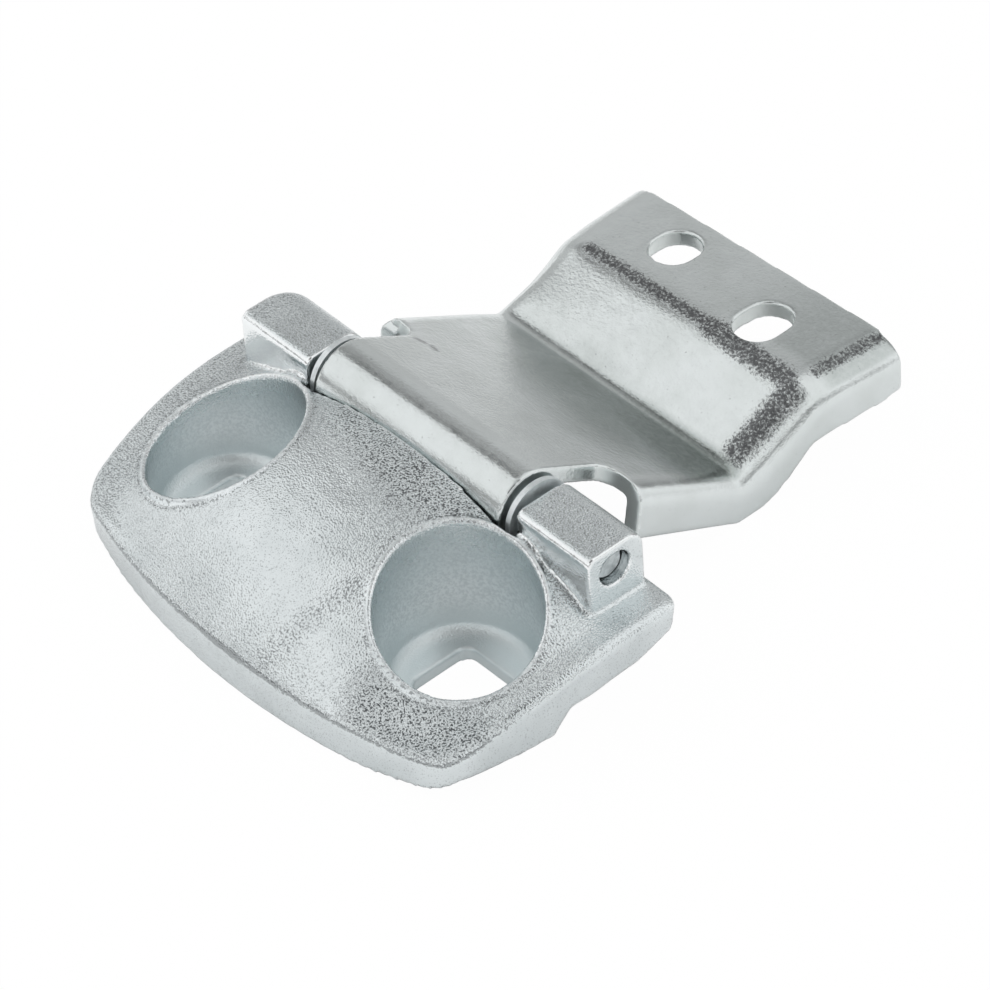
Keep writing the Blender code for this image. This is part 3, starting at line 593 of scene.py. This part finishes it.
FLANGE_BEND = ((0.0350, 0.0580), (0.0362, 0.0750))
FLANGE_BEND_SHARE = 0.9
THIN_BEND_WIDTH = 0.0026
WIDE_BEND_WIDTH = 0.0044
# Painted shade: darker zones on the plate near the ramp's foot and on the flange.
FOOT_SHADE = ((-0.0220, 0.0300), (0.0340, 0.0270))
FOOT_SHADE_WIDTH = 0.0130
FOOT_SHADE_END = (0.0325, 0.0350)
FOOT_SHADE_ACROSS = (-0.010, 0.030)
FOOT_SHADE_LEFT, FOOT_SHADE_RISE = 0.30, 0.50
PLATE_SHADE = ((-0.0080, 0.0240), (0.0160, 0.0180))
PLATE_SHADE_WIDTH = 0.0150
PLATE_SHADE_SHARE = 0.45
FLANGE_SHADE_ACROSS = (0.000, 0.025)
FLANGE_SHADE_ALONG = (0.056, 0.060)
FLANGE_SHADE_SHARE = 0.35
SHADE_FACING = (0.6, 0.8)
CUT_STEEPNESS = (0.30, 0.60)
NECK_FACING = -0.3
NECK_ALONG = (-0.006, 0.021)
NECK_BESIDE = 0.0255
SLOTS_ALONG = (0.055, 0.071)
SLOTS_WITHIN = 0.028
SCRATCHES = (((-0.0266, 0.0006), (-0.0246, 0.0012)), ((-0.0232, 0.0018), (-0.0214, 0.0014)))
SCRATCH_WIDTH = 0.0009
SHEET_LIGHT = (0.725, 0.765, 0.765, 1)
SHEET_SHADE = (0.675, 0.715, 0.71, 1)
# The colour of the dark specks and scratches, and of the painted pit shade.
SHEET_SPECK_AND_PIT_SHADE = (0.07, 0.07, 0.075, 1)
# The colour of the painted shade.
SHEET_PAINTED_SHADE = (0.22, 0.26, 0.24, 1)
SHEET_CLOUDS = 70.0
SHEET_ROUGHNESS = (0.16, 0.26)
CUT_TONE = (0.90, 0.94, 0.93, 1)
CUT_ROUGHNESS = 0.50
SPECK_NOISE = (1500.0, 2.0, 0.6)
SPECK_LEVELS = (0.70, 0.76)
SPECK_DARKNESS = 0.4
# Painted shade: dark specks in the pits, thickest along the drawn bands.
BAND_PIT_NOISE = (1500.0, 4.0, 0.75)
BAND_PIT_MIDDLE, BAND_PIT_LIFT = 0.6, 0.30
BAND_PIT_LEVELS = (0.44, 0.66)
BAND_PIT_DARKNESS = 0.9
SCRATCH_DARKNESS = 0.45
# Noise that breaks up the painted shade.
SHADE_BREAKUP_NOISE = (900.0, 3.0, 0.6)
SHADE_BREAKUP_LEVELS = (0.30, 0.60)
SHADE_BREAKUP_SHARES = (0.75, 1.0)
FAINT_NOISE, FAINT_HEIGHT = (1300.0, 3.0, 0.6), 0.00007
DRAWN_NOISE, DRAWN_HEIGHT = (1500.0, 3.0, 0.6), 0.00030

sheet_zinc, tree, shader = new_material("zinc plated sheet")
coordinates = tree.nodes.new("ShaderNodeTexCoord").outputs["Object"]
drawn = mask_node(tree, "drawn")
cut = mask_node(tree, "cut")
plating = place_group(tree, zinc_plating, Vector=coordinates, Light=SHEET_LIGHT, Shade=SHEET_SHADE,
                      Cloud_Scale=SHEET_CLOUDS, Smooth=SHEET_ROUGHNESS[0], Rough=SHEET_ROUGHNESS[1])
specks = spread_node(tree, noise_node(tree, coordinates, *SPECK_NOISE), *SPECK_LEVELS)
# Painted shade in the pits, thickest along the drawn bands.
band_pit_shade = math_node(tree, "MULTIPLY", math_node(tree, "SUBTRACT", drawn, BAND_PIT_MIDDLE), BAND_PIT_LIFT)
band_pit_shade = math_node(tree, "ADD", noise_node(tree, coordinates, *BAND_PIT_NOISE), band_pit_shade)
band_pit_shade = spread_node(tree, band_pit_shade, *BAND_PIT_LEVELS)
dark = math_node(tree, "MAXIMUM", math_node(tree, "MULTIPLY", specks, SPECK_DARKNESS),
                 math_node(tree, "MULTIPLY", band_pit_shade, BAND_PIT_DARKNESS))
dark = math_node(tree, "MAXIMUM", dark,
                 math_node(tree, "MULTIPLY", mask_node(tree, "scratched"), SCRATCH_DARKNESS))
shade_breakup = noise_node(tree, coordinates, *SHADE_BREAKUP_NOISE)
shade_breakup = spread_node(tree, shade_breakup, *SHADE_BREAKUP_LEVELS, *SHADE_BREAKUP_SHARES)
# Painted shade near the ramp's foot and on the flange, broken up by noise.
shaded = mix_node(tree, math_node(tree, "MULTIPLY", mask_node(tree, "painted_shade"), shade_breakup),
                  plating.outputs["Color"], SHEET_PAINTED_SHADE)
shaded = mix_node(tree, cut, shaded, CUT_TONE)
tree.links.new(mix_node(tree, dark, shaded, SHEET_SPECK_AND_PIT_SHADE), shader.inputs["Base Color"])
tree.links.new(blend_node(tree, cut, plating.outputs["Roughness"], CUT_ROUGHNESS),
               shader.inputs["Roughness"])
faint = bump_node(tree, noise_node(tree, coordinates, *FAINT_NOISE), FAINT_HEIGHT)
rough = bump_node(tree, noise_node(tree, coordinates, *DRAWN_NOISE), DRAWN_HEIGHT, drawn, faint)
tree.links.new(rough, shader.inputs["Normal"])
shader.inputs["Metallic"].default_value = 1.0

pressed_leaf = soft_copy("pressed_leaf", "pressed_leaf_skin", SHEET_VOXEL, SHEET_ROUNDS)
points = points_of(pressed_leaf)
across, along, _ = points.T
beside_slot = np.maximum(abs(across - RIGHT_SLOT[0]) - RIGHT_SLOT[2],
                         abs(along - RIGHT_SLOT[1]) - RIGHT_SLOT[3])
on_ramp = step_up(along, *RAMP_FROM) * (1 - step_up(along, *RAMP_TO))
on_ramp *= (1 - step_up(abs(across), *RAMP_SIDE)) * step_up(beside_slot, *SLOT_CLEAR)
at_foot = FOOT_BEND_SHARE * near_line(points, FOOT_BEND, FOOT_BEND_WIDTH)
at_corner = FLANGE_CORNER_SHARE * step_up(along, *FLANGE_CORNER[0]) * step_up(across, *FLANGE_CORNER[1])
ease_where(pressed_leaf, strongest(on_ramp, at_foot, at_corner), RAMP_ROUNDS)
run_tree(pressed_leaf, plated_skin, Material=sheet_zinc, **SHEET_SKIN)
points = keep_inside(pressed_leaf, "pressed_leaf")
across, along, _ = points.T
_, facing_rear, facing_up = normals_of(pressed_leaf).T
bands = strongest(near_line(points, UPPER_BEND, THIN_BEND_WIDTH),
                  near_line(points, UPPER_BEND_RIGHT, WIDE_BEND_WIDTH),
                  near_line(points, RIGHT_BEND, WIDE_BEND_WIDTH),
                  FLANGE_BEND_SHARE * near_line(points, FLANGE_BEND, THIN_BEND_WIDTH))
foot_shade = near_line(points, FOOT_SHADE, FOOT_SHADE_WIDTH) * (1 - step_up(along, *FOOT_SHADE_END))
foot_shade *= FOOT_SHADE_LEFT + FOOT_SHADE_RISE * step_up(across, *FOOT_SHADE_ACROSS)
plate_shade = PLATE_SHADE_SHARE * near_line(points, PLATE_SHADE, PLATE_SHADE_WIDTH)
flange_shade = step_up(across, *FLANGE_SHADE_ACROSS) * step_up(along, *FLANGE_SHADE_ALONG)
shade = strongest(foot_shade, plate_shade, FLANGE_SHADE_SHARE * flange_shade)
steep = 1 - step_up(abs(facing_up), *CUT_STEEPNESS)
in_neck = (facing_rear < NECK_FACING) * (abs(across) > NECK_BESIDE)
in_neck = in_neck * (along > NECK_ALONG[0]) * (along < NECK_ALONG[1])
round_slots = (along > SLOTS_ALONG[0]) * (along < SLOTS_ALONG[1]) * (abs(across) < SLOTS_WITHIN)
# Rough drawn bands along the bends; they also carry the painted pit shade.
keep_mask(pressed_leaf, "drawn", bands)
# The painted shade, on upward faces only.
keep_mask(pressed_leaf, "painted_shade", shade * step_up(facing_up, *SHADE_FACING))
keep_mask(pressed_leaf, "cut", steep * strongest(in_neck, round_slots))
keep_mask(pressed_leaf, "scratched",
          strongest(*(near_line(points, scratch, SCRATCH_WIDTH) for scratch in SCRATCHES)))
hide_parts("pressed_leaf")
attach(pressed_leaf, "pressed_side")


# The studio: a white table and background, a soft lamp at the left, and four shaded cards that the
# camera doesn't see but the plating reflects: overhead, behind, low down all round and on the table.

FLOOR_HALF = 3.0
FLOOR_WHITE = (0.93, 0.93, 0.93, 1)
FLOOR_GLOW = 0.98
BACK_CARD_ENDS = ((-1.60, -0.10), (0.25, 1.10))
BACK_CARD_SHARES = (0.0, 0.20, 0.35, 0.50, 0.65, 0.80, 1.0)
BACK_CARD_HEIGHTS = (0.0, 0.20, 0.45, 0.62, 0.78, 1.0, 1.25)
BACK_CARD_TONES = (
    (0.90, 0.62, 0.56, 0.56, 0.56, 0.50, 0.15),
    (0.90, 0.60, 0.56, 0.58, 0.58, 0.40, 0.10),
    (0.90, 0.55, 0.52, 0.62, 0.62, 0.60, 0.30),
    (0.90, 0.50, 0.50, 0.60, 0.54, 0.60, 0.60),
    (0.90, 0.45, 0.36, 0.28, 0.32, 0.60, 0.70),
    (1.00, 0.50, 0.42, 0.38, 0.42, 0.60, 0.80),
    (1.00, 0.50, 0.40, 0.40, 0.45, 0.60, 0.90))
TOP_CARD_HEIGHT = 1.0
TOP_CARD_X = (-1.35, -1.10, -0.95, -0.80, -0.65, -0.50, -0.38, -0.10, 0.10, 0.45, 0.75, 1.0, 1.4)
TOP_CARD_Y = (-0.95, -0.70, -0.40, -0.10, 0.03, 0.10, 0.20, 0.36, 0.55, 0.75, 0.95)
TOP_CARD_TONES = (
    (1.00, 1.00, 1.00, 1.00, 1.00, 1.00, 1.00, 1.00, 0.85, 0.40, 0.40, 0.80, 1.00),
    (1.00, 1.00, 1.00, 1.00, 1.00, 1.00, 1.00, 0.90, 0.40, 0.08, 0.08, 0.35, 1.00),
    (1.00, 1.00, 1.00, 1.00, 1.00, 1.00, 1.00, 0.55, 0.12, 0.03, 0.05, 0.25, 0.90),
    (1.00, 1.00, 1.00, 1.00, 1.00, 0.95, 0.75, 0.35, 0.12, 0.12, 0.45, 0.90, 1.00),
    (1.00, 1.00, 1.00, 1.00, 1.00, 0.90, 0.80, 0.60, 0.70, 1.00, 1.00, 1.00, 1.00),
    (0.90, 0.50, 0.12, 0.08, 0.05, 0.05, 0.35, 0.90, 1.00, 1.00, 1.00, 1.00, 1.00),
    (0.80, 0.40, 0.16, 0.10, 0.08, 0.10, 0.70, 1.00, 1.00, 1.00, 1.00, 1.00, 1.00),
    (0.70, 0.42, 0.38, 0.38, 0.35, 0.50, 0.90, 1.00, 1.00, 1.00, 1.00, 1.00, 1.00),
    (0.60, 0.42, 0.34, 0.75, 0.80, 0.80, 0.80, 0.90, 0.90, 1.00, 1.00, 1.00, 1.00),
    (0.60, 0.42, 0.34, 0.75, 0.80, 0.80, 0.80, 0.80, 0.90, 1.00, 1.00, 1.00, 1.00),
    (1.00, 1.00, 1.00, 1.00, 1.00, 1.00, 1.00, 1.00, 1.00, 1.00, 1.00, 1.00, 1.00))
LOW_STRIP_PLACES = ((-1.75, -0.20), (-1.55, -0.95), (-0.95, -1.50), (-0.10, -1.75), (0.80, -1.60),
                    (1.50, -0.90), (1.75, 0.10), (1.50, 1.00))
LOW_STRIP_HEIGHTS = (0.04, 0.10, 0.40, 0.52)
LOW_STRIP_TONES = (
    (1.00, 1.00, 1.00, 1.00, 1.00, 1.00, 1.00, 1.00),
    (0.60, 0.40, 0.30, 0.30, 0.30, 0.25, 0.25, 0.60),
    (0.60, 0.40, 0.30, 0.30, 0.30, 0.25, 0.25, 0.60),
    (1.00, 1.00, 1.00, 1.00, 1.00, 1.00, 1.00, 1.00))
TABLE_SHADE_HEIGHT = 0.001
TABLE_SHADE_X = (-1.30, -0.90, -0.50, -0.10, 0.20, 0.45)
TABLE_SHADE_Y = (0.16, 0.24, 0.70, 1.20)
TABLE_SHADE_TONES = (
    (0.80, 0.80, 0.80, 0.80, 0.80, 0.80),
    (0.80, 0.60, 0.55, 0.55, 0.60, 0.80),
    (0.80, 0.60, 0.55, 0.55, 0.60, 0.80),
    (0.80, 0.80, 0.80, 0.80, 0.80, 0.80))
LAMP_PLACE = (-0.72, -0.47, 0.90)
LAMP_SIZE = 0.45
LAMP_POWER = 1.5


def plain_mesh(name, corners, faces):
    """A mesh object from points and faces."""
    mesh = bpy.data.meshes.new(name)
    mesh.from_pydata(corners, [], faces)
    piece = bpy.data.objects.new(name, mesh)
    bpy.context.scene.collection.objects.link(piece)
    return piece


floor = plain_mesh("floor", [(-FLOOR_HALF, -FLOOR_HALF, 0), (FLOOR_HALF, -FLOOR_HALF, 0),
                             (FLOOR_HALF, FLOOR_HALF, 0), (-FLOOR_HALF, FLOOR_HALF, 0)], [(0, 1, 2, 3)])
floor_white = bpy.data.materials.new("white table")
floor_white.use_nodes = True
tree = floor_white.node_tree
tree.nodes.clear()
output = tree.nodes.new("ShaderNodeOutputMaterial")
paper = tree.nodes.new("ShaderNodeBsdfDiffuse")
paper.inputs["Color"].default_value = FLOOR_WHITE
glow = tree.nodes.new("ShaderNodeEmission")
seen = tree.nodes.new("ShaderNodeLightPath")
share = math_node(tree, "MULTIPLY", seen.outputs["Is Camera Ray"], FLOOR_GLOW)
blend = tree.nodes.new("ShaderNodeMixShader")
tree.links.new(share, blend.inputs["Fac"])
tree.links.new(paper.outputs[0], blend.inputs[1])
tree.links.new(glow.outputs[0], blend.inputs[2])
tree.links.new(blend.outputs[0], output.inputs["Surface"])
floor.data.materials.append(floor_white)


def reflected_card(name, corners, tones):
    """A shaded card seen only in reflections, from rows of corners and their tones."""
    wide = len(corners[0])
    faces = [(r * wide + c, r * wide + c + 1, (r + 1) * wide + c + 1, (r + 1) * wide + c)
             for r in range(len(corners) - 1) for c in range(wide - 1)]
    card = plain_mesh(name, [corner for row in corners for corner in row], faces)
    keep_mask(card, "tone", np.array(tones).ravel())
    paint = bpy.data.materials.new(name)
    paint.use_nodes = True
    tree = paint.node_tree
    tree.nodes.clear()
    output = tree.nodes.new("ShaderNodeOutputMaterial")
    glow = tree.nodes.new("ShaderNodeEmission")
    tree.links.new(mask_node(tree, "tone"), glow.inputs["Color"])
    tree.links.new(glow.outputs[0], output.inputs["Surface"])
    card.data.materials.append(paint)
    card.visible_camera = False
    card.visible_shadow = False
    card.visible_diffuse = False


back_left, back_right = (np.array(end) for end in BACK_CARD_ENDS)
back_places = [back_left + share * (back_right - back_left) for share in BACK_CARD_SHARES]
reflected_card("back card", [[(*place, height) for place in back_places] for height in BACK_CARD_HEIGHTS],
               BACK_CARD_TONES)
reflected_card("top card", [[(x, y, TOP_CARD_HEIGHT) for x in TOP_CARD_X] for y in TOP_CARD_Y],
               TOP_CARD_TONES)
reflected_card("low strip", [[(*place, height) for place in LOW_STRIP_PLACES]
                             for height in LOW_STRIP_HEIGHTS], LOW_STRIP_TONES)
reflected_card("table shade", [[(x, y, TABLE_SHADE_HEIGHT) for x in TABLE_SHADE_X]
                               for y in TABLE_SHADE_Y], TABLE_SHADE_TONES)

world = bpy.data.worlds.new("white studio")
world.use_nodes = True
bpy.context.scene.world = world
tree = world.node_tree
background = tree.nodes["Background"]
background.inputs["Color"].default_value = (1, 1, 1, 1)

lamp = bpy.data.lights.new("left lamp", "AREA")
lamp.size = LAMP_SIZE
lamp.energy = LAMP_POWER
left_lamp = bpy.data.objects.new("left lamp", lamp)
left_lamp.location = LAMP_PLACE
left_lamp.rotation_euler = (-Vector(LAMP_PLACE)).to_track_quat("-Z", "Y").to_euler()
left_lamp.visible_glossy = False
bpy.context.scene.collection.objects.link(left_lamp)

# The camera stands where the photograph was taken from: to the right and in front, high up, with
# a long lens, turned a little about its own axis.

AZIMUTH, ELEVATION, ROLL = (math.radians(angle) for angle in (51.153, 42.758, -4.269))
FIT_UNIT = 0.000875
FIT_FOCUS = 5433.35
FIT_RIGHT, FIT_UP, FIT_AWAY = -13.590, 12.945, 1282.744
PIN_PLACE = Vector((0, -0.01695, 0.0293))
PICTURE_WIDTH = 990
SENSOR = 36.0

back = Vector((math.sin(AZIMUTH) * math.cos(ELEVATION), -math.cos(AZIMUTH) * math.cos(ELEVATION),
               math.sin(ELEVATION)))
level = Vector((math.cos(AZIMUTH), math.sin(AZIMUTH), 0))
upright = back.cross(level)
right = math.cos(ROLL) * level + math.sin(ROLL) * upright
up = -math.sin(ROLL) * level + math.cos(ROLL) * upright
place = (back * FIT_AWAY - right * FIT_RIGHT - up * FIT_UP) * FIT_UNIT + PIN_PLACE
camera = bpy.data.objects.new("camera", bpy.data.cameras.new("camera"))
camera.data.sensor_width = SENSOR
camera.data.lens = FIT_FOCUS * SENSOR / PICTURE_WIDTH
camera.data.clip_end = 20.0
camera.matrix_world = Matrix(((right.x, up.x, back.x, place.x), (right.y, up.y, back.y, place.y),
                              (right.z, up.z, back.z, place.z), (0, 0, 0, 1)))
bpy.context.scene.collection.objects.link(camera)
bpy.context.scene.camera = camera
bpy.context.scene.view_settings.view_transform = "Standard"
